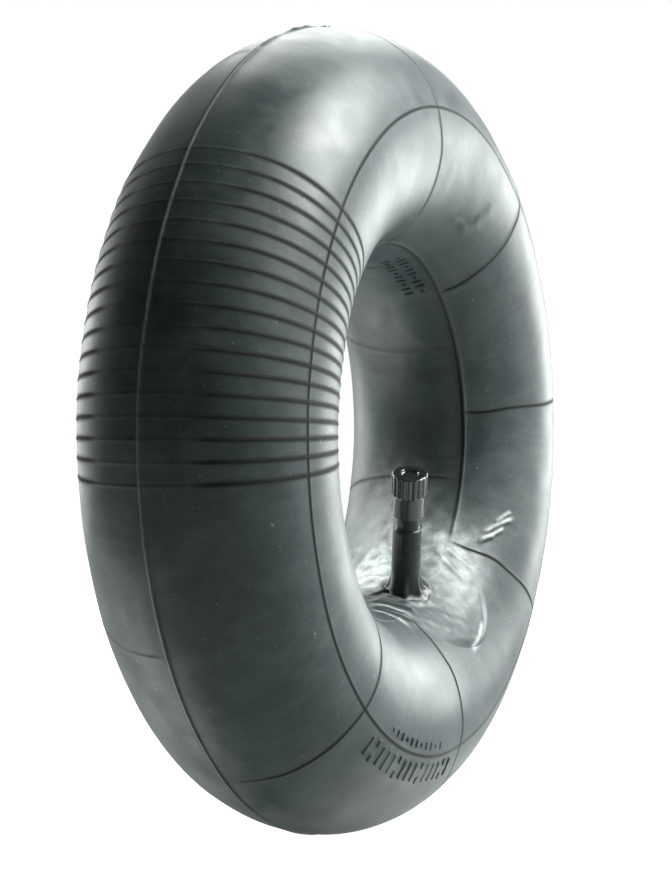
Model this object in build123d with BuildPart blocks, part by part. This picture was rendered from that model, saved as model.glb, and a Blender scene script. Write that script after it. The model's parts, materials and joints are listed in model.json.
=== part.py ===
"""Inner tube of a small pneumatic wheel, 13 inches across, with a rubber-covered screw valve.

The ring stands upright: its turning axis is +Y, +Z is up, and the origin is the centre of the ring. Angles
round the ring start at +X and rise towards +Z. Angles round the section start at the tread side, and rise
over the face at -Y to the side that lies on the rim. Heights on the valve run along its stem, from the skin of
the tube outwards. Millimetres.
"""

from math import cos, radians, sin

from build123d import *
import os

# ---- the inflated ring ----
ring_diameter = 330.0
section_radial = 92.6
section_axial = 94.4
wall = 1.8
half_radial = section_radial / 2
half_axial = section_axial / 2
centre_radius = ring_diameter / 2 - half_radial

# ---- moulded grip ribs that cross the section ----
rib_count = 17
rib_first_angle = 142.9
rib_last_angle = 187.0
rib_width = 1.5
rib_height = 0.5
rib_depth = 0.6

# ---- where the valve and its patch sit ----
valve_ring_angle = 293.3
valve_section_angle = 162.7
stem_lean = 11.4
pad_ring_angle = 298.0
pad_cut_radius = 36.0
pad_thickness = 1.2
pad_reach = 30.0
air_hole_radius = 3.0
foot_radius = 10.5
foot_sink = 6.0

# ---- stem: rubber over brass ----
stem_radius = 6.25
neck_radius = 5.0
shoulder_height = 32.0
neck_top = 36.9
insert_foot = 2.0
insert_foot_radius = 5.0
insert_foot_thickness = 1.2
insert_radius = 3.3
passage_radius = 1.3
foot_passage_radius = 1.5
thread_radius = 3.875
thread_pitch = 25.4 / 32
thread_depth = 0.42
thread_start = 33.5
thread_turns = 16
stem_top = 51.0

# ---- bore of the stem, for the valve core ----
core_bore_radius = 2.65
chamber_radius = 2.05
seat_top = 42.0
seat_bottom = 40.6
chamber_bottom = 26.0

# ---- valve core ----
core_thread_radius = 2.6
core_pitch = 25.4 / 36
core_thread_depth = 0.3
core_thread_turns = 4
plug_top = 50.4
plug_head_radius = 1.75
plug_flats = 2.4
plug_thread_top = 47.4
plug_thread_bottom = 44.4
plug_bore_radius = 0.85
plug_skirt_radius = 2.35
plug_skirt_bottom = 42.8
swivel_top = 44.2
swivel_bottom = 43.2
swivel_radius = 2.05
swivel_lip_radius = 1.75
barrel_top = 44.1
barrel_head_bottom = 43.3
barrel_head_radius = 2.0
barrel_neck_radius = 1.65
barrel_shoulder = 41.0
barrel_radius = 1.95
barrel_bottom = 35.0
barrel_bore_radius = 1.25
spring_ledge = 36.4
ledge_hole_radius = 0.75
barrel_gasket_top = 42.4
seal_gap = 0.03
pin_radius = 0.45
pin_top = 50.7
pin_head_radius = 0.75
pin_head_length = 0.8
collar_radius = 1.05
collar_bottom = 42.3
collar_top = 42.7
cup_bottom = 33.5
cup_floor = 0.47
cup_rim_top = 34.6
cup_radius = 1.85
cup_gasket_radius = 1.55
rivet_radius = 0.8
rivet_length = 0.6
spring_wire_radius = 0.15
spring_mean_radius = 0.9
spring_turns = 7

# ---- valve cap ----
cap_bottom = 37.3
cap_top = 57.0
cap_skirt_radius = 6.5
cap_head_bottom = 48.0
cap_head_radius = 7.5
cap_edge = 0.8
cap_recess_radius = 3.6
cap_recess_depth = 1.0
cap_clearance_radius = 4.3
cap_thread_bottom = 44.5
cap_thread_radius = thread_radius + 0.05
gasket_thickness = 0.9
cap_ceiling = 54.2
cap_chamber_radius = 2.9
flute_count = 18
flute_radius = 0.75

# ---- frames shared by the pieces ----
ring_axis = Axis((0, 0, 0), (0, 1, 0))


def skin_point(ring_angle, section_angle):
    """A point on the outer skin of the ring."""
    reach = centre_radius + half_radial * cos(radians(section_angle))
    side = -half_axial * sin(radians(section_angle))
    return Vector(reach * cos(radians(ring_angle)), side, reach * sin(radians(ring_angle)))


def leaning_inwards(ring_angle, lean):
    """The direction towards the ring's axis, leaning towards -Y by an angle in degrees."""
    inwards = -cos(radians(lean))
    return Vector(inwards * cos(radians(ring_angle)), -sin(radians(lean)), inwards * sin(radians(ring_angle)))


stem_base = skin_point(valve_ring_angle, valve_section_angle)
stem_direction = leaning_inwards(valve_ring_angle, stem_lean)
along_ring = Vector(-sin(radians(valve_ring_angle)), 0, cos(radians(valve_ring_angle)))
stem_axis = Axis(stem_base, stem_direction)
stem_plane = Plane(origin=stem_base, x_dir=along_ring, z_dir=stem_direction)
stem_profile = Plane(origin=stem_base, x_dir=along_ring, z_dir=along_ring.cross(stem_direction))


def ring_section(grown_by):
    """The ring's section, grown evenly, as two half ellipses: one seam on the tread, one on the rim side."""
    radial = half_radial + grown_by
    axial = half_axial + grown_by
    with BuildSketch(Plane.XY) as section:
        with BuildLine():
            for start in (0, 180):
                EllipticalCenterArc((centre_radius, 0), radial, axial, start_angle=start, arc_size=180)
        make_face()
    return section.sketch


def lathe(outline):
    """A closed outline of (radius, height) points, laid on a plane through the stem's axis."""
    with BuildSketch(stem_profile) as profile:
        with BuildLine():
            Polyline(*outline, close=True)
        make_face()
    return profile.sketch


def thread_outline(radius, depth, pitch, bottom, turns):
    """The outer edge of a thread, read upwards: plain rings that stand for the helix."""
    points = []
    for turn in range(turns):
        start = bottom + turn * pitch
        points.append((radius, start))
        points.append((radius, start + 0.2 * pitch))
        points.append((radius - depth, start + 0.6 * pitch))
    points.append((radius, bottom + turns * pitch))
    return points


os.makedirs("parts", exist_ok=True)

# ---- tube body: a closed rubber ring, hollow, with an air hole under the valve ----
rib_step = (rib_last_angle - rib_first_angle) / (rib_count - 1)
rib_planes = []
for rib in range(rib_count):
    angle = radians(rib_first_angle + rib * rib_step)
    outwards = Vector(cos(angle), 0, sin(angle))
    rib_planes.append(Plane(origin=outwards * centre_radius, x_dir=outwards, z_dir=(-sin(angle), 0, cos(angle))))

with BuildPart() as tube_body:
    revolve(ring_section(0), axis=ring_axis, clean=False)
    revolve(ring_section(-wall), axis=ring_axis, mode=Mode.SUBTRACT, clean=False)
    with BuildSketch(*rib_planes):
        Ellipse(half_radial + rib_height, half_axial + rib_height)
        Ellipse(half_radial - rib_depth, half_axial - rib_depth, mode=Mode.SUBTRACT)
    extrude(amount=rib_width / 2, both=True, clean=False)
    with BuildSketch(stem_plane):
        Circle(air_hole_radius)
    extrude(amount=foot_sink, both=True, mode=Mode.SUBTRACT, clean=False)
tube_body.part.label = "tube_body"
export_step(tube_body.part, "parts/tube_body.step")

# ---- valve pad: a round rubber patch bonded over the skin, with a hole for the foot of the stem ----
pad_centre = skin_point(pad_ring_angle, valve_section_angle)
pad_plane = Plane(origin=pad_centre, z_dir=leaning_inwards(pad_ring_angle, 180 - valve_section_angle))

with BuildPart() as valve_pad:
    with BuildSketch(pad_plane):
        Circle(pad_cut_radius)
    extrude(amount=pad_reach, both=True)
    revolve(ring_section(pad_thickness), axis=ring_axis, mode=Mode.INTERSECT)
    revolve(ring_section(0), axis=ring_axis, mode=Mode.SUBTRACT)
    with BuildSketch(stem_plane):
        Circle(foot_radius)
    extrude(amount=foot_sink, both=True, mode=Mode.SUBTRACT)
valve_pad.part.label = "valve_pad"
export_step(valve_pad.part, "parts/valve_pad.step")

# ---- stem cover: rubber moulded round the brass insert, its foot shaped to the skin ----
with BuildPart() as stem_cover:
    with BuildSketch(stem_profile):
        with BuildLine():
            flare = ThreePointArc((stem_radius, 9.0), (7.2, 4.2), (9.6, 1.6))
            rounded = ThreePointArc(flare @ 1, (10.2, 1.0), (foot_radius, 0.2))
            Polyline(
                rounded @ 1,
                (foot_radius, -foot_sink),
                (foot_passage_radius, -foot_sink),
                (foot_passage_radius, insert_foot),
                (insert_foot_radius, insert_foot),
                (insert_foot_radius, insert_foot + insert_foot_thickness),
                (insert_radius, insert_foot + insert_foot_thickness),
                (insert_radius, thread_start),
                (thread_radius, thread_start),
                (thread_radius, neck_top),
                (neck_radius, neck_top),
                (neck_radius, shoulder_height + 0.3),
                (neck_radius + 0.5, shoulder_height),
                (stem_radius, shoulder_height - 0.8),
                flare @ 0,
            )
        make_face()
    revolve(axis=stem_axis)
    revolve(ring_section(0), axis=ring_axis, mode=Mode.SUBTRACT)
stem_cover.part.label = "stem_cover"
export_step(stem_cover.part, "parts/stem_cover.step")

# ---- stem insert: brass tube with the cap's thread outside and the core's bore inside ----
insert_bore = [
    (core_bore_radius + 0.25, stem_top),
    (core_bore_radius, stem_top - 0.25),
    (core_bore_radius, seat_top),
    (chamber_radius, seat_bottom),
    (chamber_radius, chamber_bottom),
    (passage_radius, chamber_bottom - 1.0),
    (passage_radius, insert_foot),
]
insert_outside = [
    (insert_foot_radius, insert_foot),
    (insert_foot_radius, insert_foot + insert_foot_thickness),
    (insert_radius, insert_foot + insert_foot_thickness),
    (insert_radius, thread_start),
    (thread_radius, thread_start),
]
cap_thread = thread_outline(thread_radius, thread_depth, thread_pitch, neck_top + 0.4, thread_turns)
insert_top = [(thread_radius, stem_top - 0.6), (thread_radius - 0.4, stem_top)]

with BuildPart() as stem_insert:
    revolve(lathe(insert_bore + insert_outside + cap_thread + insert_top), axis=stem_axis)
stem_insert.part.label = "stem_insert"
export_step(stem_insert.part, "parts/stem_insert.step")

# ---- core plug: the screw of the valve core, with two flats for its key, swivelling on the barrel ----
plug_outside = [
    (plug_bore_radius, swivel_top),
    (swivel_radius, swivel_top),
    (swivel_radius, swivel_bottom),
    (swivel_lip_radius, swivel_bottom),
    (swivel_lip_radius, plug_skirt_bottom),
    (plug_skirt_radius, plug_skirt_bottom),
    (plug_skirt_radius, plug_thread_bottom),
]
plug_thread = thread_outline(
    core_thread_radius, core_thread_depth, core_pitch, plug_thread_bottom + 0.1, core_thread_turns
)
plug_head = [
    (core_thread_radius, plug_thread_top),
    (plug_head_radius, plug_thread_top),
    (plug_head_radius, plug_top),
    (plug_bore_radius, plug_top),
]

with BuildPart() as core_plug:
    revolve(lathe(plug_outside + plug_thread + plug_head), axis=stem_axis)
    flat_width = core_thread_radius - plug_flats / 2
    with BuildSketch(stem_plane.offset(plug_thread_top)):
        with Locations((0, plug_flats / 2 + flat_width / 2), (0, -plug_flats / 2 - flat_width / 2)):
            Rectangle(2 * core_thread_radius, flat_width)
    extrude(amount=plug_top - plug_thread_top, mode=Mode.SUBTRACT)
core_plug.part.label = "core_plug"
export_step(core_plug.part, "parts/core_plug.step")

# ---- core barrel: the sleeve that holds the spring and carries the seal ring ----
with BuildPart() as core_barrel:
    barrel_outline = [
        (barrel_bore_radius, barrel_top),
        (barrel_bore_radius, spring_ledge),
        (ledge_hole_radius, spring_ledge),
        (ledge_hole_radius, barrel_bottom),
        (barrel_radius, barrel_bottom),
        (barrel_radius, barrel_shoulder),
        (barrel_neck_radius, barrel_shoulder),
        (barrel_neck_radius, barrel_head_bottom),
        (barrel_head_radius, barrel_head_bottom),
        (barrel_head_radius, barrel_top),
    ]
    revolve(lathe(barrel_outline), axis=stem_axis)
core_barrel.part.label = "core_barrel"
export_step(core_barrel.part, "parts/core_barrel.step")

# ---- barrel gasket: the cone that seals the core in the stem ----
seat_slope = (core_bore_radius - chamber_radius) / (seat_top - seat_bottom)
gasket_foot_radius = chamber_radius + seat_slope * (barrel_shoulder - seat_bottom) - seal_gap

with BuildPart() as barrel_gasket:
    gasket_outline = [
        (barrel_neck_radius, barrel_shoulder),
        (gasket_foot_radius, barrel_shoulder),
        (core_bore_radius - seal_gap - 0.02, seat_top),
        (core_bore_radius - seal_gap - 0.02, barrel_gasket_top),
        (barrel_neck_radius, barrel_gasket_top),
    ]
    revolve(lathe(gasket_outline), axis=stem_axis)
barrel_gasket.part.label = "barrel_gasket"
export_step(barrel_gasket.part, "parts/barrel_gasket.step")

# ---- core pin: pressed to let air in or out, with a collar for the spring and a riveted end ----
with BuildPart() as core_pin:
    pin_outline = [
        (0, pin_top),
        (pin_head_radius, pin_top),
        (pin_head_radius, pin_top - pin_head_length),
        (pin_radius, pin_top - pin_head_length),
        (pin_radius, collar_top),
        (collar_radius, collar_top),
        (collar_radius, collar_bottom),
        (pin_radius, collar_bottom),
        (pin_radius, cup_bottom),
        (rivet_radius, cup_bottom),
        (rivet_radius, cup_bottom - rivet_length),
        (0, cup_bottom - rivet_length),
    ]
    revolve(lathe(pin_outline), axis=stem_axis)
core_pin.part.label = "core_pin"
export_step(core_pin.part, "parts/core_pin.step")

# ---- core cup and its gasket: the disc valve at the pin's inner end ----
cup_inside = cup_bottom + cup_floor

with BuildPart() as core_cup:
    cup_outline = [
        (pin_radius, cup_bottom),
        (cup_radius, cup_bottom),
        (cup_radius, cup_rim_top),
        (cup_gasket_radius, cup_rim_top),
        (cup_gasket_radius, cup_inside),
        (pin_radius, cup_inside),
    ]
    revolve(lathe(cup_outline), axis=stem_axis)
core_cup.part.label = "core_cup"
export_step(core_cup.part, "parts/core_cup.step")

with BuildPart() as cup_gasket:
    disc_outline = [
        (pin_radius, cup_inside),
        (cup_gasket_radius, cup_inside),
        (cup_gasket_radius, barrel_bottom - seal_gap),
        (pin_radius, barrel_bottom - seal_gap),
    ]
    revolve(lathe(disc_outline), axis=stem_axis)
cup_gasket.part.label = "cup_gasket"
export_step(cup_gasket.part, "parts/cup_gasket.step")

# ---- core spring: pushes the pin's collar outwards, which closes the valve ----
spring_bottom = spring_ledge + spring_wire_radius + 0.02
spring_height = collar_bottom - spring_wire_radius - 0.02 - spring_bottom

with BuildPart() as core_spring:
    with BuildLine() as coil:
        Helix(
            pitch=spring_height / spring_turns,
            height=spring_height,
            radius=spring_mean_radius,
            center=stem_base + stem_direction * spring_bottom,
            direction=stem_direction,
        )
    with BuildSketch(Plane(origin=coil.line @ 0, z_dir=coil.line % 0)):
        Circle(spring_wire_radius)
    sweep()
core_spring.part.label = "core_spring"
export_step(core_spring.part, "parts/core_spring.step")

# ---- valve cap: a smooth skirt over the thread and a wider, fluted head to turn it by ----
gasket_bottom = stem_top + seal_gap
gasket_top = gasket_bottom + gasket_thickness
cap_step = gasket_top + seal_gap

with BuildPart() as valve_cap:
    cap_outline = [
        (cap_clearance_radius, cap_bottom),
        (cap_skirt_radius - cap_edge, cap_bottom),
        (cap_skirt_radius, cap_bottom + cap_edge),
        (cap_skirt_radius, cap_head_bottom - cap_edge),
        (cap_head_radius, cap_head_bottom),
        (cap_head_radius, cap_top - cap_edge),
        (cap_head_radius - cap_edge, cap_top),
        (cap_recess_radius, cap_top),
        (cap_recess_radius, cap_top - cap_recess_depth),
        (0, cap_top - cap_recess_depth),
        (0, cap_ceiling),
        (cap_chamber_radius, cap_ceiling),
        (cap_chamber_radius, cap_step),
        (cap_thread_radius, cap_step),
        (cap_thread_radius, cap_thread_bottom),
        (cap_clearance_radius, cap_thread_bottom - 0.5),
    ]
    revolve(lathe(cap_outline), axis=stem_axis)
    with BuildSketch(stem_plane.offset(cap_head_bottom - cap_edge)):
        with PolarLocations(cap_head_radius + flute_radius / 2, flute_count):
            Circle(flute_radius)
    extrude(amount=cap_top - cap_head_bottom + 2 * cap_edge, mode=Mode.SUBTRACT)
valve_cap.part.label = "valve_cap"
export_step(valve_cap.part, "parts/valve_cap.step")

# ---- cap gasket: the washer between the cap and the end of the brass ----
with BuildPart() as cap_gasket:
    washer_outline = [
        (cap_chamber_radius + 0.05, gasket_bottom),
        (cap_thread_radius - 0.075, gasket_bottom),
        (cap_thread_radius - 0.075, gasket_top),
        (cap_chamber_radius + 0.05, gasket_top),
    ]
    revolve(lathe(washer_outline), axis=stem_axis)
cap_gasket.part.label = "cap_gasket"
export_step(cap_gasket.part, "parts/cap_gasket.step")
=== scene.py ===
"""Looks of the inner tube: meshes, materials, light and camera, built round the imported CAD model.

Metres, in the CAD frame: the ring's axis is +Y, +Z is up, and the origin is the centre of the ring.
Ring angles start at +X and rise towards +Z. Section angles start at the tread and rise over the face at
-Y to the side that lies on the rim. Both are in degrees. Heights on the valve run along its stem, from the
skin outwards.
"""

import json
import math

import bpy
import numpy as np
from mathutils import Matrix, Vector


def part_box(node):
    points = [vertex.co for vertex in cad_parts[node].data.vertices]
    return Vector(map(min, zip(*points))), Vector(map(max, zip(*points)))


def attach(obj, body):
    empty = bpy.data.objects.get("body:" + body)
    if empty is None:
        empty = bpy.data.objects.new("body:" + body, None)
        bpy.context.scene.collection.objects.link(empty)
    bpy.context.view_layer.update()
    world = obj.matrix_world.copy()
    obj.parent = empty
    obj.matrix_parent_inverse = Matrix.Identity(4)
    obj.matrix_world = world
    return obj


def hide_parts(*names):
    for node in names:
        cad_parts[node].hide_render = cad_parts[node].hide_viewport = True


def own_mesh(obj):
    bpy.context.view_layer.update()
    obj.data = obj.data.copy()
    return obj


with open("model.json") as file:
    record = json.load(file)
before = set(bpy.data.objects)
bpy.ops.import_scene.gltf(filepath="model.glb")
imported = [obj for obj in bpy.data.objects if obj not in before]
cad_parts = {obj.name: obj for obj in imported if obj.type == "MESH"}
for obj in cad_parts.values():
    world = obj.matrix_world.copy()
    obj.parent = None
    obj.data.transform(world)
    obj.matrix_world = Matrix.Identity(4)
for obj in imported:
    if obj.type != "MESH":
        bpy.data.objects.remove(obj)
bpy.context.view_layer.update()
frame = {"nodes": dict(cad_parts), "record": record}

MM = 0.001

# ---- sizes and places that come from the frame ----
mounts = {mount["name"]: mount for mount in frame["record"]["mounts"]}
rim_radius = mounts["rim_seat"]["dims"]["r_mm"] * MM
tread_radius = mounts["tread_seat"]["dims"]["r_mm"] * MM
half_radial = (tread_radius - rim_radius) / 2
centre_radius = (tread_radius + rim_radius) / 2
rib_height = 0.5 * MM
half_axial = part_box("tube_body")[1].y - rib_height
stem_radius = mounts["valve_stem"]["dims"]["r_mm"] * MM
thread_radius = mounts["valve_thread"]["dims"]["r_mm"] * MM
stem_direction = np.array(mounts["valve_stem"]["axis"])
stem_middle_height = 20 * MM
stem_base = np.array(mounts["valve_stem"]["pos_m"]) - stem_middle_height * stem_direction
stem_side = np.cross((0, 1, 0), stem_direction)
stem_side /= np.linalg.norm(stem_side)
stem_front = np.cross(stem_direction, stem_side)

# ---- moulded lines on the ring ----
rib_first_angle, rib_last_angle, rib_count = 142.9, 187.0, 17
rib_angles = np.linspace(rib_first_angle, rib_last_angle, rib_count)
# seams are left out where the ribs or their ends would hide them
seam_step = 45
first_seam, first_far_seam = 6.9, 29.4
seam_angles = first_seam + seam_step * np.array([0, 1, 2, 5, 6, 7])
far_seam_angles = first_far_seam + seam_step * np.array([0, 1, 2, 4, 5, 6, 7])
tread_line = -1.2
face_line = 75.3
rim_line = 152.8

# ---- the round patch under the valve ----
pad_ring_angle = 298.0
pad_section_angle = 162.7
pad_radius = 36 * MM
pad_thickness = 1.2 * MM


# ---------------------------------------------------------------- geometry helpers

def ring_points(ring_angle, section_angle, lift=0.0):
    """Points on the skin of the ring, raised by lift along the section."""
    around, across = np.radians(ring_angle), np.radians(section_angle)
    reach = centre_radius + (half_radial + lift) * np.cos(across)
    side = -(half_axial + lift) * np.sin(across)
    return np.stack([reach * np.cos(around), side, reach * np.sin(around)], axis=-1)


def angle_gap(angles, target):
    """Signed differences from target, between -180 and 180 degrees."""
    return (angles - target + 180) % 360 - 180


def hump(distance, width):
    """A smooth bump of height 1 that has faded out at about two widths."""
    return np.exp(-((distance / width) ** 2))


def fade(value, start, end):
    """A smooth step from 0 at start to 1 at end."""
    t = np.clip((value - start) / (end - start), 0, 1)
    return t * t * (3 - 2 * t)


def ripple(points, wavelength, seed, waves=18):
    """A smooth, seeded wobble, mostly between -1 and 1, from sine waves in random directions."""
    rng = np.random.default_rng(seed)
    directions = rng.normal(size=(waves, 3))
    directions /= np.linalg.norm(directions, axis=1)[:, None]
    lengths = wavelength * rng.uniform(0.7, 1.7, waves)
    phases = rng.uniform(0, 2 * math.pi, waves)
    total = np.sin(points @ (directions * (2 * math.pi / lengths)[:, None]).T + phases).sum(axis=-1)
    return total / math.sqrt(waves)


def spaced_angles(step, centres, offsets):
    """Angles round a circle: one each step, and closer ones on both sides of each centre."""
    even = np.arange(0, 360, step)
    nearest = np.min([np.abs(angle_gap(even, centre)) for centre in centres], axis=0)
    close = [centre + side * offset for centre in centres for offset in offsets for side in (-1, 1)]
    angles = np.concatenate([even[nearest > offsets[-1] + 0.15], np.array(close) % 360])
    return np.unique(np.round(angles, 3))


def new_piece(name, points, faces, material, body, sharp_from=None):
    """A mesh object that rides on a CAD body and takes its finish from a material slot."""
    mesh = bpy.data.meshes.new(name)
    mesh.from_pydata([tuple(p) for p in points], [], faces)
    mesh.validate()
    mesh.shade_smooth()
    if sharp_from is not None:
        mesh.set_sharp_from_angle(angle=math.radians(sharp_from))
    mesh.materials.append(material)
    piece = bpy.data.objects.new(name, mesh)
    bpy.context.scene.collection.objects.link(piece)
    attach(piece, body)
    return piece


def strip_faces(row_a, row_b, closed=True):
    """Quads, or triangles at a pole, between two rows of vertex numbers."""
    faces = []
    count = max(len(row_a), len(row_b))
    for i in range(count if closed else count - 1):
        j = (i + 1) % count
        if len(row_a) == 1:
            faces.append((row_a[0], row_b[j], row_b[i]))
        elif len(row_b) == 1:
            faces.append((row_a[i], row_a[j], row_b[0]))
        else:
            faces.append((row_a[i], row_a[j], row_b[j], row_b[i]))
    return faces


def stem_points(radius, height, angle):
    """Points round the stem's axis. Angles in radians."""
    out = np.multiply.outer(np.cos(angle), stem_side) + np.multiply.outer(np.sin(angle), stem_front)
    return stem_base + height[..., None] * stem_direction + radius[..., None] * out


def turned(outline, segments, reshape=None):
    """A solid turned round the stem's axis.

    Its outline is (radius, height) in mm. It runs from axis to axis, or closes on itself off the axis.
    reshape(radius, height, angle) gives new radii and heights, in mm, for flutes, folds and threads.
    """
    angle = np.arange(segments) * 2 * math.pi / segments
    points, rows, faces = [], [], []
    for radius, height in outline:
        turn = angle if radius > 0 else angle[:1]
        r, h = np.full(len(turn), float(radius)), np.full(len(turn), float(height))
        if reshape and radius > 0:
            r, h = reshape(r, h, turn)
        rows.append(list(range(len(points), len(points) + len(turn))))
        points.extend(stem_points(r * MM, h * MM, turn))
    if outline[0][0] > 0:
        rows.append(rows[0])
    for row_a, row_b in zip(rows, rows[1:]):
        faces.extend(strip_faces(row_a, row_b))
    return points, faces


def arc(centre, radius, start, end, steps):
    """Points of an arc in an outline, in mm and degrees."""
    turns = np.radians(np.linspace(start, end, steps + 1))
    return [(centre[0] + radius * math.cos(a), centre[1] + radius * math.sin(a)) for a in turns]


# ---------------------------------------------------------------- materials

class Nodes:
    """A short way to build a node material."""

    def __init__(self, name):
        self.material = bpy.data.materials.new(name)
        self.material.use_nodes = True
        self.tree = self.material.node_tree
        self.shader = self.tree.nodes["Principled BSDF"]

    def link(self, source, socket):
        self.tree.links.new(source, socket)

    def add(self, kind, inputs=(), **settings):
        """A node whose inputs are values or sockets of other nodes."""
        node = self.tree.nodes.new(kind)
        for key, value in settings.items():
            setattr(node, key, value)
        for key, value in dict(inputs).items():
            if isinstance(value, bpy.types.NodeSocket):
                self.link(value, node.inputs[key])
            else:
                node.inputs[key].default_value = value
        return node

    def place(self):
        """Object coordinates, in metres."""
        return self.add("ShaderNodeTexCoord").outputs["Object"]

    def noise(self, scale, detail=4.0, rough=0.55, vector=None, distortion=0.0):
        """Smooth noise between 0 and 1, with scale in waves per metre."""
        inputs = {"Scale": scale, "Detail": detail, "Roughness": rough, "Distortion": distortion}
        inputs["Vector"] = vector if vector is not None else self.place()
        return self.add("ShaderNodeTexNoise", inputs).outputs["Fac"]

    def math(self, operation, a, b=0.0, clamp=False):
        return self.add("ShaderNodeMath", {0: a, 1: b}, operation=operation, use_clamp=clamp).outputs[0]

    def ramp(self, value, low, high, start=0.0, end=1.0):
        """A smooth step from start to end as the value goes from low to high."""
        inputs = {"Value": value, "From Min": low, "From Max": high, "To Min": start, "To Max": end}
        return self.add("ShaderNodeMapRange", inputs, interpolation_type="SMOOTHSTEP").outputs["Result"]

    def blend(self, factor, a, b):
        """A mix of two colours, each a value or a socket."""
        inputs = {"Factor": factor, "A": a, "B": b}
        node = self.tree.nodes.new("ShaderNodeMix")
        node.data_type = "RGBA"
        sockets = {s.identifier: s for s in node.inputs}
        for key, identifier in (("Factor", "Factor_Float"), ("A", "A_Color"), ("B", "B_Color")):
            value = inputs[key]
            if isinstance(value, bpy.types.NodeSocket):
                self.link(value, sockets[identifier])
            elif key == "Factor":
                sockets[identifier].default_value = value
            else:
                sockets[identifier].default_value = (*value, 1.0)
        return next(s for s in node.outputs if s.identifier == "Result_Color")

    def attribute(self, name):
        """A number that store() kept for each point of the mesh."""
        return self.add("ShaderNodeAttribute", attribute_name=name).outputs["Fac"]

    def bump(self, height, strength, distance, normal=None):
        inputs = {"Height": height, "Strength": strength, "Distance": distance}
        if normal is not None:
            inputs["Normal"] = normal
        return self.add("ShaderNodeBump", inputs).outputs["Normal"]

    def set(self, **values):
        """Values or sockets for the shader, with _ for a space in a socket's name."""
        for key, value in values.items():
            socket = self.shader.inputs[key.replace("_", " ")]
            if isinstance(value, bpy.types.NodeSocket):
                self.link(value, socket)
            elif key == "Base_Color":
                socket.default_value = (*value, 1.0)
            else:
                socket.default_value = value

    def around_ring(self, along):
        """Coordinates that vary along the ring and hardly across it, for streaks that cross the section."""
        parts = self.add("ShaderNodeSeparateXYZ", {0: self.place()})
        flat = self.add("ShaderNodeCombineXYZ", {"X": parts.outputs["X"], "Z": parts.outputs["Z"]})
        unit = self.add("ShaderNodeVectorMath", {0: flat.outputs[0]}, operation="NORMALIZE")
        on_ring = {0: unit.outputs[0], "Scale": centre_radius}
        ring = self.add("ShaderNodeVectorMath", on_ring, operation="SCALE")
        small = self.add("ShaderNodeVectorMath", {0: self.place(), "Scale": along}, operation="SCALE")
        both = self.add("ShaderNodeVectorMath", {0: ring.outputs[0], 1: small.outputs[0]}, operation="ADD")
        return both.outputs[0]


# the pale of the talc, and of the painted highlights on fold crests and the tread's flash
talc_and_highlight_white = (0.74, 0.79, 0.78)
# near-black for the painted shade: the unlit sides of ribs, mould lines and folds, and the crevice under
# the valve's foot
painted_shade_black = (0.003, 0.004, 0.004)


def rubber(name, dark, pale, bloom_from, bloom_to, roughness, grain):
    """Moulded rubber: a dark base under a pale bloom, with streaks, grain, talc with painted highlights,
    and painted shade along ribs, mould lines and folds.
    """
    n = Nodes(name)
    streaks = n.noise(260, 5, 0.6, n.around_ring(0.30))
    mottle = n.noise(45, 7, 0.62, distortion=0.5)
    specks = n.noise(900, 2, 0.5)
    mixed = n.math("ADD", n.math("MULTIPLY", streaks, 0.25), n.math("MULTIPLY", mottle, 0.75))
    cloud = n.ramp(mixed, bloom_from, bloom_to)
    bloom = n.math("MULTIPLY", cloud, n.ramp(specks, 0.2, 0.8, 0.75, 1.0))
    lines = n.attribute("line")
    specks_of_talc = n.ramp(n.noise(900, 1, 0.4), 0.75, 0.81, 0.0, 0.30)
    talc_and_highlight = n.math("MAXIMUM", n.attribute("talc_and_highlight"), specks_of_talc)
    talc_and_highlight = n.math("MULTIPLY", talc_and_highlight, n.ramp(n.noise(420, 5, 0.7), 0.30, 0.62, 0.50, 1.0), clamp=True)
    colour = n.blend(bloom, dark, pale)
    # talc, and the painted highlights on the fold crests and the tread's flash, lighten the colour
    colour = n.blend(talc_and_highlight, colour, talc_and_highlight_white)
    # painted shade: the line attribute darkens the colour where ribs, mould lines and folds would fall into
    # shadow
    colour = n.blend(lines, colour, painted_shade_black)
    matt = n.math("MULTIPLY", n.math("MAXIMUM", lines, talc_and_highlight), 0.45)
    rough = n.math("ADD", n.ramp(mottle, 0.3, 0.7, roughness - 0.05, roughness + 0.06), matt, clamp=True)
    fine = n.bump(n.noise(1500, 3, 0.6), grain, 0.10 * MM)
    drawn = n.bump(streaks, 0.15, 0.20 * MM, fine)
    n.set(Base_Color=colour, Roughness=rough, Normal=n.bump(mottle, 0.35, 0.6 * MM, drawn))
    return n.material


def metal(name, colour, roughness, turned_marks):
    """Machined metal with fine rings from the tool and a little tarnish."""
    n = Nodes(name)
    along = n.add("ShaderNodeVectorMath", {0: n.place(), 1: tuple(stem_direction)}, operation="DOT_PRODUCT")
    marks = n.add("ShaderNodeCombineXYZ", {"X": along.outputs["Value"]}).outputs[0]
    rings = n.noise(turned_marks, 4, 0.7, marks)
    tarnish = n.noise(700, 5, 0.6)
    dull = tuple(0.55 * c for c in colour)
    n.set(
        Base_Color=n.blend(n.ramp(tarnish, 0.42, 0.72), colour, dull),
        Metallic=1.0,
        Roughness=n.ramp(tarnish, 0.3, 0.8, roughness, roughness + 0.2),
        Normal=n.bump(rings, 0.35, 0.03 * MM, n.bump(tarnish, 0.15, 0.05 * MM)),
    )
    return n.material


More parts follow.
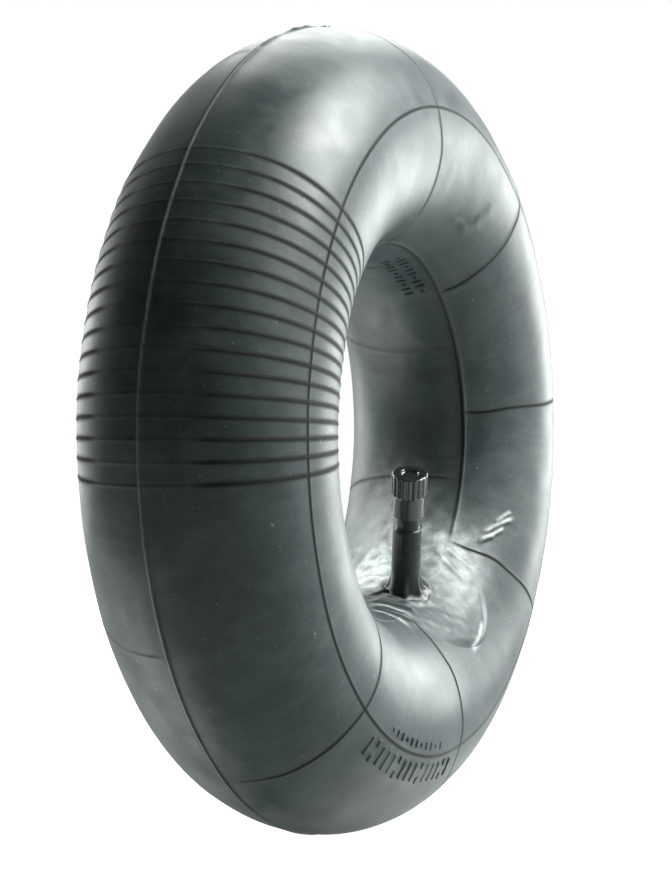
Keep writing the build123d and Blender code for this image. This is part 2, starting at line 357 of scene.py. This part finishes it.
def moulded_plastic():
    """Hard black cap plastic: glossy, with soft flow marks, scuffs and dust in the flutes."""
    n = Nodes("cap_plastic")
    flow = n.noise(160, 5, 0.55, distortion=0.6)
    scuffs = n.noise(1400, 6, 0.7)
    black, dusty = (0.010, 0.012, 0.012), (0.05, 0.055, 0.055)
    n.set(
        Base_Color=n.blend(n.ramp(scuffs, 0.55, 0.85, 0.0, 0.5), black, dusty),
        Roughness=n.ramp(scuffs, 0.3, 0.8, 0.16, 0.34),
        Normal=n.bump(scuffs, 0.12, 0.05 * MM, n.bump(flow, 0.15, 0.3 * MM)),
    )
    n.shader.inputs["IOR"].default_value = 1.6
    n.shader.inputs["Coat Weight"].default_value = 1.0
    n.shader.inputs["Coat IOR"].default_value = 1.6
    n.shader.inputs["Coat Roughness"].default_value = 0.15
    return n.material


def seal(name, colour, roughness):
    """Small moulded seals: matt, with grain and worn patches."""
    n = Nodes(name)
    grain = n.noise(2600, 5, 0.65)
    worn = n.noise(500, 4, 0.6)
    n.set(
        Base_Color=n.blend(n.ramp(worn, 0.4, 0.7, 0.0, 0.6), colour, tuple(0.5 * c for c in colour)),
        Roughness=n.ramp(worn, 0.3, 0.7, roughness - 0.08, roughness + 0.1),
        Normal=n.bump(grain, 0.25, 0.05 * MM),
    )
    return n.material


tube_dark, tube_bloom = (0.034, 0.046, 0.047), (0.072, 0.090, 0.089)
tube_rubber = rubber("tube_rubber", tube_dark, tube_bloom, 0.36, 0.68, 0.42, 0.35)
pad_rubber = rubber("pad_rubber", tube_dark, tube_bloom, 0.36, 0.68, 0.40, 0.40)
mark_rubber = rubber("mark_rubber", (0.012, 0.016, 0.016), (0.040, 0.050, 0.050), 0.38, 0.66, 0.42, 0.35)
stem_rubber = rubber("stem_rubber", (0.010, 0.013, 0.0135), (0.034, 0.042, 0.043), 0.42, 0.70, 0.34, 0.35)
stem_brass = metal("stem_brass", (0.72, 0.53, 0.24), 0.24, 9000)
core_brass = metal("core_brass", (0.78, 0.60, 0.30), 0.20, 12000)
pin_steel = metal("pin_steel", (0.60, 0.60, 0.58), 0.22, 15000)
spring_steel = metal("spring_steel", (0.66, 0.66, 0.66), 0.18, 15000)
cap_plastic = moulded_plastic()
seal_ring = seal("seal_ring", (0.50, 0.035, 0.022), 0.45)
seal_rubber = seal("seal_rubber", (0.020, 0.021, 0.021), 0.62)


# ---------------------------------------------------------------- the ring

def creases(ring_angle, section_angle, folds):
    """Summed height of soft folds on the skin, in mm, and the shade that lies beside them, from 0 to 1.

    A fold is (ring angle, section angle, turn, half length, width, height, bend), in degrees and mm.
    It runs along the ring at turn 0 and across the section at turn 90. Bend bows its middle sideways.
    """
    height_sum = np.zeros(np.broadcast(ring_angle, section_angle).shape)
    shade = np.zeros_like(height_sum)
    reach = centre_radius + half_radial * np.cos(np.radians(section_angle))
    for at_ring, at_section, turn, half_length, width, height, bend in folds:
        a = np.radians(angle_gap(ring_angle, at_ring)) * reach / MM
        b = np.radians(angle_gap(section_angle, at_section)) * half_axial / MM
        along = a * math.cos(math.radians(turn)) + b * math.sin(math.radians(turn))
        beside = b * math.cos(math.radians(turn)) - a * math.sin(math.radians(turn))
        beside = beside - bend * (1 - (along / half_length) ** 2)
        ends = 1 - fade(np.abs(along), 0.55 * half_length, half_length)
        height_sum += height * ends * hump(beside, width)
        shade += height * ends * hump(beside + 1.3 * width, 0.7 * width)
    return height_sum, np.clip(shade, 0, 1)


def line_profile(distance):
    """Height of a mould line across its width, and how dark the painted shade beside it is. Distance in mm.
    """
    return hump(distance - 0.5, 0.5), np.minimum(1.2 * hump(distance, 0.80), 1)


# soft folds in the skin: beside the patch, under the valve's foot, and on the shoulder near the top
folds = [
    (327.0, 133.5, -47, 5, 0.9, 0.6, 0.4),
    (329.5, 131.0, -45, 8, 0.9, 0.8, -0.5),
    (332.5, 128.0, -48, 10, 0.9, 0.8, 0.6),
    (335.5, 126.0, -44, 6, 0.8, 0.6, 0.3),
    (288, 168, -50, 11, 0.9, 1.0, 1.2),
    (284, 163, -62, 9, 0.8, 0.9, -1.0),
    (280, 160, -73, 12, 0.9, 1.2, 1.5),
    (275.5, 157, -71, 12, 0.9, 1.1, -1.2),
    (270, 150, -85, 12, 1.0, 0.8, 1.5),
    (313, 148, 60, 10, 1.3, 0.5, 1.5),
    (317, 144, 75, 9, 1.3, 0.5, 1.2),
    (320, 190, 24, 16, 2.2, 0.6, 1.0),
    (326, 186, 20, 16, 2.0, 0.6, 1.5),
    (69, 122, 40, 8, 2.0, 0.7, 1.2),
    (74, 126, 15, 7, 1.8, 0.5, -1.0),
    (66, 112, 60, 8, 2.0, 0.5, 1.0),
]

# pale strokes painted along the fold crests and the patch's crescent as their highlights, in the same form
# as a fold, with how strong they are in place of a height
fold_crest_highlights = [
    (327.5, 133.0, -47, 5, 0.9, 0.7, 0.4),
    (330.0, 130.5, -45, 8, 0.8, 0.9, -0.5),
    (333.0, 127.5, -48, 11, 0.8, 0.9, 0.6),
    (336.0, 125.5, -44, 6, 0.7, 0.6, 0.3),
    (296.0, 118.5, 12, 10, 0.9, 0.9, -1.2),
    (286, 169, -50, 10, 0.8, 0.5, 1.2),
    (277, 160, -73, 10, 0.8, 0.6, 1.5),
    (272, 155, -75, 10, 0.9, 0.6, 1.2),
]

# patches of talc round the valve, in degrees and mm:
# (ring angle, section angle, half length, half width, strength)
talc_patches = [
    (320, 190, 26, 17, 0.95),
    (300, 187, 15, 11, 0.90),
    (318, 150, 14, 12, 0.80),
    (308, 139, 14, 10, 0.40),
    (287, 175, 8, 7, 0.45),
]


def talc_and_highlights_at(points, ring_angle, section_angle):
    """How much talc lies on the skin, with painted highlights along the fold crests, from 0 to 1."""
    reach = centre_radius + half_radial * np.cos(np.radians(section_angle))
    talc_and_highlight = np.zeros(np.broadcast(ring_angle, section_angle).shape)
    for at_ring, at_section, half_length, half_width, strength in talc_patches:
        a = np.radians(angle_gap(ring_angle, at_ring)) * reach / MM
        b = np.radians(angle_gap(section_angle, at_section)) * half_axial / MM
        talc_and_highlight += strength * hump(np.hypot(a / half_length, b / half_width), 1)
    talc_and_highlight = talc_and_highlight * (0.75 + 0.35 * ripple(points, 6 * MM, 31))
    # painted highlights along the fold crests join the talc
    strokes, _ = creases(ring_angle, section_angle, fold_crest_highlights)
    return np.clip(np.maximum(talc_and_highlight, strokes), 0, 1)


def store(piece, name, values):
    """Keep one number for each point of a piece's mesh, for its material to read."""
    layer = piece.data.attributes.new(name, "FLOAT", "POINT")
    layer.data.foreach_set("value", np.clip(values, 0, 1).reshape(-1).astype(np.float32))


def ring_surface(ring_angle, section_angle):
    """Lift of the skin, in metres, its darkness (painted shade along ribs, mould lines and folds), and its
    talc with painted highlights, at ring and section angles.
    """
    skin = ring_points(ring_angle, section_angle)
    reach = centre_radius + half_radial * np.cos(np.radians(section_angle))
    lift = 0.16 * MM * ripple(skin, 42 * MM, 11) + 0.05 * MM * ripple(skin, 15 * MM, 12)
    dark = np.zeros_like(lift)
    broken = fade(ripple(skin, 9 * MM, 13), -0.5, 0.9)

    # grip ribs: fainter round the middle of the tread, with painted shade along each rib
    from_middle = np.abs(angle_gap(section_angle, -2))
    on_tread = 1 - fade(from_middle, 20, 32)
    for rib in rib_angles:
        side = np.radians(angle_gap(ring_angle, rib)) * reach / MM
        faint = 1 - on_tread * (0.75 + 0.25 * broken)
        lift += (0.15 + 0.35 * faint) * rib_height * hump(side - 0.3, 0.5)
        # painted shade: the rib's unlit flank is darkened in the colour
        dark = np.maximum(dark, faint * np.minimum(1.4 * hump(side, 0.85), 1))

    # seams across the section, where the mould's segments met
    for seam in seam_angles:
        side = np.radians(angle_gap(ring_angle, seam)) * reach / MM
        shown = 1 - fade(np.abs(angle_gap(section_angle, 78)), 70, 78)
        # painted shade along one side of each seam's ridge
        ridge, painted_side_shade = line_profile(side + 0.5 * ripple(skin, 24 * MM, 14))
        lift += 0.12 * MM * shown * ridge
        dark = np.maximum(dark, shown * painted_side_shade)
    for seam in far_seam_angles:
        side = np.radians(angle_gap(ring_angle, seam)) * reach / MM
        hidden = angle_gap(section_angle, -103.5)
        shown = 1 - fade(np.abs(hidden), 95, 102)
        # painted shade along one side of each far seam, weaker than on the near seams
        ridge, painted_side_shade = line_profile(side + 0.5 * ripple(skin, 24 * MM, 15))
        lift += 0.12 * MM * shown * ridge
        dark = np.maximum(dark, 0.6 * shown * painted_side_shade)

    # lines round the ring: the tread's flash, the face line and the rim line, each with painted shade
    # beside it
    edge = np.radians(angle_gap(section_angle, tread_line)) * half_axial / MM
    ragged = hump(angle_gap(ring_angle, 103), 16) * (0.7 + 0.5 * ripple(skin, 5 * MM, 16))
    lift += (0.48 + 0.9 * np.clip(ragged, 0, 1.3)) * MM * hump(edge, 0.55)
    low_side = fade(np.abs(angle_gap(ring_angle, 130)), 70, 110)
    high_side = hump(angle_gap(ring_angle, 125), 18)
    # painted shade along one side of the tread's flash
    dark = np.maximum(dark, (0.35 + 0.5 * np.maximum(low_side, high_side)) * hump(edge + 1.1, 0.6))
    # the ragged stretch of the flash is made darker across its width
    dark = np.maximum(dark, np.clip(ragged, 0, 1) * hump(edge, 1.6))
    # painted highlight: a pale line along the flash's ridge, where it would catch the light
    painted_flash_highlight = 0.22 * hump(edge, 0.6) * hump(angle_gap(ring_angle, 150), 40)
    edge = np.radians(angle_gap(section_angle, face_line)) * half_axial / MM
    lift += 0.12 * MM * hump(edge - 0.5, 0.5)
    # painted shade along one side of the face line
    dark = np.maximum(dark, np.minimum(1.3 * hump(edge, 0.70), 1))
    edge = np.radians(angle_gap(section_angle, rim_line)) * half_axial / MM
    under_patch = hump(angle_gap(ring_angle, 299), 21)
    gaps = np.clip(under_patch * (1.9 + 0.9 * ripple(skin, 7 * MM, 17)), 0, 1)
    lift += 0.45 * MM * (1 - gaps) * hump(edge + 0.3, 0.6)
    # painted shade along one side of the rim line, left out under the patch
    dark = np.maximum(dark, (1 - gaps) * hump(edge - 0.8, 0.85))

    height, shade = creases(ring_angle, section_angle, folds)
    # painted shade beside the folds, in the colour's darkness
    dark = np.maximum(dark, 0.75 * shade)
    # the painted highlight along the flash is merged into the talc
    talc_and_highlight = np.maximum(talc_and_highlights_at(skin, ring_angle, section_angle), painted_flash_highlight)
    return lift + height * MM, dark, talc_and_highlight


def make_ring():
    """The ring's skin, with rows close together along its lines and round the valve."""
    rib_offsets = (0.0, 0.14, 0.28, 0.45, 0.75)
    seam_offsets = (0.0, 0.2, 0.45, 0.8)
    around = spaced_angles(2.0, rib_angles, rib_offsets)
    extra = spaced_angles(400, np.concatenate([seam_angles, far_seam_angles]), seam_offsets)
    round_valve = [np.arange(264, 344, 0.75), np.arange(325, 339, 0.35)]
    around = np.unique(np.concatenate([around, extra[extra > 0], *round_valve]))
    around = around[np.concatenate([[True], np.diff(around) > 0.08])]
    across = spaced_angles(3.3, (tread_line % 360, face_line, rim_line), (0.0, 0.4, 0.8, 1.3, 2.0))
    across = np.unique(np.concatenate([across, np.arange(117, 148, 1.3), np.arange(122, 135, 0.6)]))
    across = across[np.concatenate([[True], np.diff(across) > 0.3])]
    ring_angle, section_angle = np.meshgrid(around, across, indexing="ij")
    lift, dark, talc_and_highlight = ring_surface(ring_angle, section_angle)
    points = ring_points(ring_angle, section_angle, lift).reshape(-1, 3)
    numbers = np.arange(len(points)).reshape(len(around), len(across))
    faces = []
    for row_a, row_b in zip(numbers, np.roll(numbers, -1, axis=0)):
        faces.extend(strip_faces(row_a.tolist(), row_b.tolist()))
    ring = new_piece("ring_skin", points, faces, tube_rubber, "tube")
    store(ring, "line", dark)
    store(ring, "talc_and_highlight", talc_and_highlight)
    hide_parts("tube_body")
    return ring


# ---------------------------------------------------------------- the patch

def onto_skin(points, direction, depth=30 * MM):
    """The points moved along a direction, to where they meet the skin of the ring from outside."""
    low, high = np.full(len(points), -depth), np.full(len(points), depth)
    for _ in range(40):
        middle = (low + high) / 2
        at = points + middle[:, None] * direction
        reach = np.hypot(at[:, 0], at[:, 2])
        outside = np.hypot((reach - centre_radius) / half_radial, at[:, 1] / half_axial) > 1
        high = np.where(outside, middle, high)
        low = np.where(outside, low, middle)
    return points + ((low + high) / 2)[:, None] * direction


def skin_angles(points):
    """Ring and section angles of points near the skin."""
    reach = np.hypot(points[:, 0], points[:, 2]) - centre_radius
    across = np.degrees(np.arctan2(-points[:, 1] / half_axial, reach / half_radial)) % 360
    return np.degrees(np.arctan2(points[:, 2], points[:, 0])) % 360, across


def make_pad():
    """The round patch under the valve, draped on the skin and thin at its edge, except for one crescent."""
    rings, spokes = 72, 230
    tilt = math.radians(180 - pad_section_angle)
    inwards = math.radians(pad_ring_angle)
    normal = np.array([
        -math.cos(tilt) * math.cos(inwards), -math.sin(tilt), -math.cos(tilt) * math.sin(inwards)
    ])
    centre = ring_points(pad_ring_angle, pad_section_angle)
    along = np.array([-math.sin(inwards), 0, math.cos(inwards)])
    beside = np.cross(normal, along)
    radii = pad_radius * np.linspace(0, 1, rings + 1)[1:]
    turns = np.arange(spokes) * 2 * math.pi / spokes
    flat = [centre] + [
        centre + r * (math.cos(a) * along + math.sin(a) * beside) for r in radii for a in turns
    ]
    skin = onto_skin(np.array(flat), normal)
    ring_angle, section_angle = skin_angles(skin)
    out = np.concatenate([[0.0], np.repeat(radii, spokes)]) / pad_radius
    crescent = hump(angle_gap(ring_angle, 296), 16) * fade(-section_angle, -135, -125)
    edge = 1 - fade(out, 0.70 + 0.22 * crescent, 1.0)
    to_stem = np.linalg.norm(np.cross(skin - stem_base, stem_direction), axis=1) / MM
    below, line_dark, talc_and_highlight = ring_surface(ring_angle, section_angle)
    _, shade = creases(ring_angle, section_angle, folds)
    sunk = 0.06 * MM
    lift = below - sunk + (pad_thickness + sunk) * edge
    lift += edge * 0.14 * MM * ripple(skin, 9 * MM, 21) + edge * 0.06 * MM * ripple(skin, 4 * MM, 22)
    lift += 0.8 * MM * hump(to_stem - 10.5, 2.0) * (1 + 0.5 * ripple(skin, 7 * MM, 23))
    # the skin's painted shade shows faintly on the patch, together with the painted shade beside the folds
    dark = np.maximum(line_dark * (1 - 0.65 * edge), 0.75 * shade)
    # painted shade in the crevice under the stem's flared foot
    dark = np.maximum(dark, 0.5 * hump(to_stem - 8.5, 1.2))
    # painted shade along the outer side of the patch's raised crescent edge
    dark = np.maximum(dark, 0.8 * crescent * hump((out - 1.0) * pad_radius / MM, 0.8))
    top = ring_points(ring_angle, section_angle, lift)
    under = ring_points(ring_angle, section_angle, -0.5 * MM)
    points = np.concatenate([top, under])
    count = len(top)
    faces = []
    for layer, flip in ((0, False), (count, True)):
        rows = [[layer]] + [
            list(range(layer + 1 + k * spokes, layer + 1 + (k + 1) * spokes)) for k in range(rings)
        ]
        for row_a, row_b in zip(rows, rows[1:]):
            made = strip_faces(row_a, row_b)
            faces.extend([face[::-1] for face in made] if flip else made)
    rim_top = list(range(count - spokes, count))
    rim_under = list(range(2 * count - spokes, 2 * count))
    faces.extend(strip_faces(rim_top, rim_under))
    pad = new_piece("valve_patch", points, faces, pad_rubber, "tube")
    store(pad, "line", np.concatenate([dark, dark]))
    store(pad, "talc_and_highlight", np.concatenate([talc_and_highlight, talc_and_highlight]))
    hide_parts("valve_pad")
    return pad


# ---------------------------------------------------------------- the valve

def make_stem_cover():
    """The rubber stem: pleats at its flared foot, faint moulding lines, and a rounded shoulder."""
    radius = stem_radius / MM

    def reshape(r, h, angle):
        low = 1 - fade(h, 1.0, 13.0)
        pleats = 0.55 * low * np.cos(7 * angle + 0.6) + 0.25 * low * np.cos(11 * angle)
        parting = 0.14 * hump(np.sin(angle), 0.06)
        skin = (r > 4.2) & (h > 0.1)
        waves = 0.05 * np.sin(h * 1.3 + 2 * angle) * fade(h, 8, 14)
        return r + np.where(skin, pleats + parting + waves, 0), h

    outline = [(1.5, -2.0), (10.8, -2.0), (10.7, 0.4), (10.2, 0.8)]
    outline += [(9.3, 1.2), (8.5, 1.7), (7.8, 2.4), (7.25, 3.3), (6.85, 4.5), (6.6, 6.0), (6.4, 7.6)]
    outline += [(radius, h) for h in np.arange(9.0, 30.6, 0.8)]
    outline += arc((radius - 0.8, 31.0), 0.8, 0, 90, 6)
    outline += [(5.3, 31.9), (5.05, 32.3)]
    outline += [(5.0, h) for h in np.arange(33.0, 36.5, 0.5)]
    outline += [(4.9, 36.8), (4.7, 36.9), (thread_radius / MM, 36.9), (thread_radius / MM, 33.5)]
    outline += [(3.3, 33.5), (3.3, 3.2), (1.5, 3.2)]
    points, faces = turned(outline, 168, reshape)
    cover = new_piece("stem_rubber_cover", points, faces, stem_rubber, "tube", 50)
    points = np.array(points)
    height = (points - stem_base) @ stem_direction / MM
    dusted = 1 - fade(height + 0.8 * ripple(points, 5 * MM, 24), 0.6, 2.6)
    store(cover, "talc_and_highlight", 0.45 * dusted)
    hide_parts("stem_cover")
    return cover


def make_stem_insert():
    """The brass tube, with the cap's helical thread outside."""
    pitch, depth, top = 25.4 / 32, 0.42, 51.0
    crest = thread_radius / MM
    thread_from, thread_to = 37.3, 50.3

    def reshape(r, h, angle):
        begun = fade(h, thread_from - 0.3, thread_from + 0.4)
        ended = fade(h, thread_to - 0.4, thread_to + 0.3)
        phase = (h / pitch - angle / (2 * math.pi)) % 1
        groove = 1 - np.clip(np.abs(phase - 0.5) * 2.6 - 0.15, 0, 1)
        outside = r > 3.6
        return r - np.where(outside, depth * groove * begun * (1 - ended), 0), h

    bore = [(2.95, top), (2.65, top - 0.3)]
    bore += [(2.65, h) for h in np.arange(50.0, 42.1, -1.0)]
    bore += [(2.65, 42.0), (2.05, 40.6), (2.05, 26.0), (1.3, 25.0), (1.3, 2.0)]
    outside = [(5.0, 2.0), (5.0, 3.2), (3.3, 3.2), (3.3, 33.5), (crest, 33.5), (crest, 36.9)]
    outside += [(crest, h) for h in np.arange(37.0, 50.5, pitch / 8)]
    outside += [(crest - 0.1, 50.6), (crest - 0.4, top)]
    points, faces = turned(bore + outside, 72, reshape)
    insert = new_piece("stem_brass_insert", points, faces, stem_brass, "tube", 40)
    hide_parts("stem_insert")
    return insert


def make_closing_spring():
    """The spring round the core's pin: a coil of round wire at its resting length; it does not shorten when
    the pin is pressed.
    """
    ledge, collar, gap = 36.4, 42.3, 0.02
    wire_radius, coil_radius, turns = 0.15, 0.9, 7
    sides = 10
    along = np.linspace(0, 1, 24 * turns + 1)[:, None]
    round_wire = (np.arange(sides) * 2 * math.pi / sides)[None, :]
    lowest, highest = ledge + gap + wire_radius, collar - gap - wire_radius
    height = lowest + (highest - lowest) * along + wire_radius * np.sin(round_wire)
    radius = coil_radius + wire_radius * np.cos(round_wire) + 0 * along
    angle = 2 * math.pi * turns * along + 0 * round_wire
    points = stem_points(radius * MM, height * MM, angle).reshape(-1, 3)
    rows = np.arange(len(points)).reshape(-1, sides).tolist()
    faces = [tuple(rows[0][::-1]), tuple(rows[-1])]
    for row_a, row_b in zip(rows, rows[1:]):
        faces.extend(strip_faces(row_a, row_b))
    spring = new_piece("closing_spring", points, faces, spring_steel, "core_barrel", 50)
    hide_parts("core_spring")
    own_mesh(spring)
    return spring


def make_cap():
    """The screw cap: a smooth skirt, a step, and a wider fluted head with a shallow dish on top."""
    flutes, flute_depth = 18, 0.55

    def reshape(r, h, angle):
        on_head = fade(h, 47.4, 48.2) * (1 - fade(h, 56.2, 57.0))
        groove = np.clip(1 - np.abs(np.mod(angle * flutes / (2 * math.pi), 1) - 0.5) * 3.2, 0, 1) ** 0.7
        outside = r > 6.4
        return r - np.where(outside, flute_depth * groove * on_head, 0), h

    outline = [(0, 56.05), (1.2, 56.05), (2.4, 56.0)] + arc((3.4, 56.3), 0.3, -90, 0, 4)
    outline += arc((3.95, 56.75), 0.25, 180, 90, 4)
    outline += [(5.0, 57.0), (6.2, 57.0)] + arc((6.7, 56.2), 0.8, 90, 0, 8)
    outline += [(7.5, h) for h in np.arange(55.6, 48.4, -0.6)]
    outline += arc((7.15, 48.1), 0.35, 0, -60, 4)
    outline += [(6.75, 47.5), (6.5, 47.1)]
    outline += [(6.5, h) for h in np.arange(46.5, 38.2, -0.9)]
    outline += arc((6.0, 37.8), 0.5, 0, -90, 5)
    outline += [(4.3, 37.3), (4.3, 44.0), (3.925, 44.5), (3.925, 51.96)]
    outline += [(2.9, 51.96), (2.9, 54.2), (0, 54.2)]
    points, faces = turned(outline, flutes * 14, reshape)
    cap = new_piece("screw_cap", points, faces, cap_plastic, "cap", 40)
    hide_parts("valve_cap")
    return cap


# ---------------------------------------------------------------- moulded marks

def mark_bars(name, marks):
    """Plain raised bars on the skin.

    A mark is (ring angle, section angle, turn, length, width), in degrees and mm.
    """
    points, faces = [], []
    segments, layers = 16, ((1.0, -0.3), (1.0, 0.18), (0.9, 0.30), (0.7, 0.36))
    for ring_angle, section_angle, turn, length, width in marks:
        reach = (centre_radius + half_radial * math.cos(math.radians(section_angle))) / MM
        first = len(points)
        for grow, height in layers:
            for k in range(segments):
                a = 2 * math.pi * k / segments
                u = grow * width / 2 * math.cos(a) + math.copysign((length - width) / 2, math.cos(a))
                v = grow * width / 2 * math.sin(a)
                c, s = math.cos(math.radians(turn)), math.sin(math.radians(turn))
                du, dv = u * c - v * s, u * s + v * c
                at_ring = ring_angle + math.degrees(du / reach)
                at_section = section_angle + math.degrees(dv * MM / half_axial)
                points.append(ring_points(at_ring, at_section, height * MM))
        starts = [first + i * segments for i in range(len(layers))]
        rows = [list(range(start, start + segments)) for start in starts]
        for row_a, row_b in zip(rows, rows[1:]):
            faces.extend(strip_faces(row_a, row_b))
        faces.append(tuple(rows[-1]))
        faces.append(tuple(rows[0][::-1]))
    return new_piece(name, points, faces, mark_rubber, "tube", 60)


def make_marks():
    """Two rows on the face and two on the rim side, where a real ring is lettered: plain strokes only."""
    face, small, rim = [], [], []
    for k in range(15):
        at_ring = 239 + 2.4 * k
        if k % 4 == 1:
            face += [(at_ring, 62.5, 90, 3.6, 2.6), (at_ring, 70.5, 90, 3.6, 2.6)]
        else:
            face.append((at_ring, 66.5, 90, 8.6, 2.4))
    for k in range(11):
        length = 3.4 if k % 3 else 1.8
        small.append((244 + 2.2 * k, 80.5, 90, length, 1.1))
    for k in range(10):
        for row in (0, 1):
            length = 4.2 if (k + row) % 3 else 2.0
            rim.append((55 + 2.5 * k, 161.5 + 7.5 * row, 90, length, 1.4))
    mark_bars("face_marks", face)
    mark_bars("face_marks_small", small)
    mark_bars("rim_marks", rim)


# ---------------------------------------------------------------- camera, light and floor

def make_camera():
    """A long lens, level with the ring's centre, that looks past its ribbed side into the hole."""
    camera = bpy.data.objects.new("camera", bpy.data.cameras.new("camera"))
    bpy.context.scene.collection.objects.link(camera)
    right = Vector((0.4286, -0.9035, 0.0091)).normalized()
    up = Vector((-0.0039, 0.0082, 1.0)).normalized()
    back = right.cross(up).normalized()
    turn = Matrix((right, up, back)).transposed().to_4x4()
    camera.matrix_world = Matrix.Translation((-0.7105, -0.3318, -0.0045)) @ turn
    camera.data.lens = 76.6
    camera.data.sensor_width = 36
    camera.data.clip_start, camera.data.clip_end = 0.01, 100
    bpy.context.scene.camera = camera
    return camera


def area_light(name, direction, distance, side, power, colour):
    """A soft square panel that faces the ring from a direction, and isn't seen by the camera."""
    light = bpy.data.lights.new(name, "AREA")
    light.shape, light.size, light.size_y = "RECTANGLE", side, side
    light.energy, light.color = power, colour
    lamp = bpy.data.objects.new(name, light)
    bpy.context.scene.collection.objects.link(lamp)
    towards = Vector(direction).normalized()
    lamp.location = towards * distance
    lamp.rotation_mode = "QUATERNION"
    lamp.rotation_quaternion = towards.to_track_quat("Z", "Y")
    lamp.visible_camera = False
    return lamp


def spot_light(name, position, target, cone, power, colour):
    """A narrow soft-edged light from a position to a target, with its cone in degrees."""
    light = bpy.data.lights.new(name, "SPOT")
    light.spot_size, light.spot_blend = math.radians(cone), 1.0
    light.shadow_soft_size = 0.05
    light.energy, light.color = power, colour
    lamp = bpy.data.objects.new(name, light)
    bpy.context.scene.collection.objects.link(lamp)
    lamp.location = position
    lamp.rotation_mode = "QUATERNION"
    lamp.rotation_quaternion = (Vector(position) - Vector(target)).to_track_quat("Z", "Y")
    return lamp


# soft panels round the ring: (name, direction from the ring, side in metres, power in watts)
panels = [
    ("key", (0.28, -0.61, 0.74), 0.7, 37),
    ("right", (0.93, -0.34, 0.10), 0.7, 11),
    ("low_right", (0.85, -0.31, -0.45), 0.7, 8),
    ("low_behind_right", (0.86, 0.05, -0.60), 0.6, 13),
    ("fill", (0.42, -0.90, 0.14), 0.7, 4),
    ("behind", (0.61, 0.28, 0.74), 0.7, 9),
    ("left_edge", (0.34, 0.93, 0.05), 0.7, 6),
    ("low_left", (0.05, 0.80, -0.75), 0.7, 16),
]
panel_distance = 1.3


def make_lights():
    """The panels, and a spot through the ring's hole onto the talc beside the valve."""
    cool = (0.96, 1.0, 0.99)
    for name, direction, side, power in panels:
        area_light(name, direction, panel_distance, side, power, cool)
    spot_light("through_the_hole", (0.04, 0.64, 0.48), (0.055, 0.0, -0.045), 14, 26, cool)


def make_world():
    """A white backdrop for the camera, which reflections see on one side and which lights little itself."""
    bright_side = (0.90, 0.42, 0.05)
    dimmest, brightest = 0.03, 0.8
    world = bpy.data.worlds.new("studio")
    bpy.context.scene.world = world
    world.use_nodes = True
    nodes, links = world.node_tree.nodes, world.node_tree.links

    def background(strength):
        node = nodes.new("ShaderNodeBackground")
        node.inputs["Color"].default_value = (0.94, 1.0, 0.99, 1)
        node.inputs["Strength"].default_value = strength
        return node

    def mix(factor, a, b):
        node = nodes.new("ShaderNodeMixShader")
        links.new(factor, node.inputs["Fac"])
        links.new(a.outputs[0], node.inputs[1])
        links.new(b.outputs[0], node.inputs[2])
        return node

    seen = nodes["Background"]
    seen.inputs["Color"].default_value = (1, 1, 1, 1)
    place = nodes.new("ShaderNodeTexCoord")
    dot = nodes.new("ShaderNodeVectorMath")
    dot.operation = "DOT_PRODUCT"
    dot.inputs[1].default_value = bright_side
    links.new(place.outputs["Generated"], dot.inputs[0])
    step = nodes.new("ShaderNodeMapRange")
    step.interpolation_type = "SMOOTHSTEP"
    step.inputs["From Min"].default_value = 0.0
    step.inputs["From Max"].default_value = 0.9
    links.new(dot.outputs["Value"], step.inputs["Value"])
    path = nodes.new("ShaderNodeLightPath")
    dim = background(dimmest)
    reflected = mix(step.outputs["Result"], dim, background(brightest))
    unseen = mix(path.outputs["Is Glossy Ray"], dim, reflected)
    everything = mix(path.outputs["Is Camera Ray"], unseen, seen)
    links.new(everything.outputs[0], nodes["World Output"].inputs["Surface"])


def make_sheet(name, height, colour, glow):
    """A large plain floor sheet."""
    n = Nodes(name)
    grain = n.noise(40, 3, 0.5)
    n.set(Base_Color=colour, Roughness=n.ramp(grain, 0.3, 0.7, 0.85, 0.95))
    n.shader.inputs["Emission Color"].default_value = (1, 1, 1, 1)
    n.shader.inputs["Emission Strength"].default_value = glow
    half = 6.0
    corners = [(-half, -half), (half, -half), (half, half), (-half, half)]
    mesh = bpy.data.meshes.new(name)
    mesh.from_pydata([(x, y, height) for x, y in corners], [], [(0, 1, 2, 3)])
    mesh.materials.append(n.material)
    sheet = bpy.data.objects.new(name, mesh)
    bpy.context.scene.collection.objects.link(sheet)
    return sheet


def make_floor():
    """A white floor: a sheet that the camera sees, over one that throws soft light up at the ring."""
    floor_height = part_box("tube_body")[0].z - 0.6 * MM
    seen = make_sheet("floor", floor_height, (0.6, 0.62, 0.62), 1.0)
    seen.visible_diffuse = seen.visible_glossy = seen.visible_shadow = False
    bounce = make_sheet("floor_bounce", floor_height - 1 * MM, (0.30, 0.32, 0.32), 0.0)
    bounce.visible_camera = bounce.visible_shadow = False


# ---------------------------------------------------------------- assembly

make_camera()
make_lights()
make_world()
make_floor()
make_ring()
make_pad()
make_stem_cover()
make_stem_insert()
make_closing_spring()
make_cap()
make_marks()

cad_finishes = {
    "core_plug": core_brass,
    "core_barrel": core_brass,
    "core_cup": core_brass,
    "core_pin": pin_steel,
    "barrel_gasket": seal_ring,
    "cup_gasket": seal_rubber,
    "cap_gasket": seal_rubber,
}
for node, finish in cad_finishes.items():
    for material_slot in frame["nodes"][node].material_slots:
        material_slot.material = finish

bpy.context.scene.view_settings.view_transform = "Standard"
bpy.context.scene.view_settings.look = "None"
